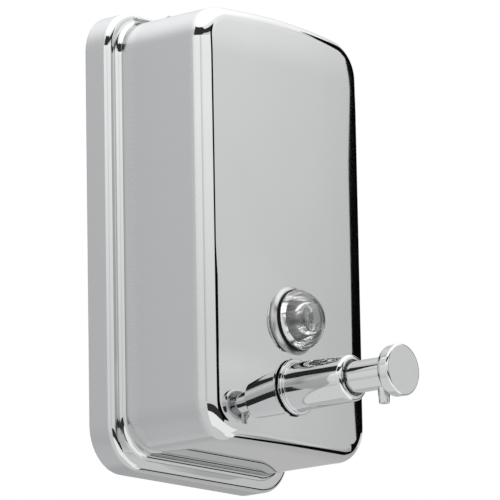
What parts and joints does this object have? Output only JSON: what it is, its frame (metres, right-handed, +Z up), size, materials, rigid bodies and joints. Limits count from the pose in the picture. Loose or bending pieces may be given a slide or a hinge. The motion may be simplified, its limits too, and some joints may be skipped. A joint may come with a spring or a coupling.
{
  "type": "soap dispenser",
  "caption": "Wall-mounted upright steel soap dispenser: stepped back rim, drawn tank with hinged locking filler lid, domed sight glass and horizontal push valve with a spout under its stem",
  "frame": {"origin": "middle of the wall screw pattern, on the wall plane", "axes": "+Z up, the front faces -Y, +X to the right seen from the front; the wall is y = 0"},
  "size_m": [0.121, 0.1265, 0.2082],
  "materials": {
    "satin_steel": "satin sides, mirror front",
    "galvanised_steel": "zinc plated, dull",
    "screw_steel": "bright turned steel",
    "chrome_plate": "polished chrome",
    "brass_plug": "turned brass",
    "black_rubber": "matt black",
    "clear_plastic": "clear, polished",
    "white_plastic": "moulded"
  },
  "bodies": {
    "tank": {"body_shell": "satin_steel", "filler_frame": "satin_steel", "back_rim": "satin_steel", "back_panel": "satin_steel", "hanger_cleat": "galvanised_steel", "wall_bracket": "galvanised_steel", "bracket_screw": "screw_steel", "hinge_brackets": "satin_steel", "hinge_pin": "screw_steel", "sight_glass": "clear_plastic", "sight_collar": "chrome_plate", "sight_gasket": "black_rubber", "sight_washer": "screw_steel", "sight_nut": "white_plastic", "valve_gasket": "black_rubber", "valve_barrel": "chrome_plate", "valve_washer": "screw_steel", "valve_nut": "brass_plug", "gland_ring": "white_plastic", "return_spring": "screw_steel", "inlet_cap": "white_plastic", "pickup_tube": "white_plastic"},
    "plunger": {"pump_stem": "chrome_plate", "piston": "white_plastic", "piston_seal": "black_rubber", "push_button": "chrome_plate", "spout_nozzle": "chrome_plate", "outlet_spring": "screw_steel"},
    "lid": {"filler_lid": "satin_steel", "lid_gasket": "black_rubber", "lock_housing": "chrome_plate", "lock_nut": "screw_steel"},
    "lock": {"lock_plug": "brass_plug", "lock_cam": "galvanised_steel", "cam_screw": "screw_steel"},
    "inlet_check": {"inlet_ball": "screw_steel"},
    "outlet_check": {"outlet_ball": "screw_steel"}
  },
  "joints": [
    {"name": "plunger_push", "type": "slide", "parent": "tank", "child": "plunger", "axis": [0, 1, 0], "range_m": [0, 0.012], "stiffness_N_per_m": 350, "springref_m": -0.02, "deforming": ["return_spring"]},
    {"name": "lid_hinge", "type": "hinge", "parent": "tank", "child": "lid", "pos_m": [0, -0.0175, 0.1023], "axis": [-1, 0, 0], "range_deg": [0, 100]},
    {"name": "lock_turn", "type": "hinge", "parent": "lid", "child": "lock", "pos_m": [0, -0.036, 0.1], "axis": [0, 0, -1], "range_deg": [0, 90]},
    {"name": "inlet_lift", "type": "slide", "parent": "tank", "child": "inlet_check", "axis": [0, 0, 1], "range_m": [0, 0.002]},
    {"name": "outlet_lift", "type": "slide", "parent": "plunger", "child": "outlet_check", "axis": [0, -1, 0], "range_m": [0, 0.0015], "stiffness_N_per_m": 40, "springref_m": -0.003, "deforming": ["outlet_spring"]}
  ]
}
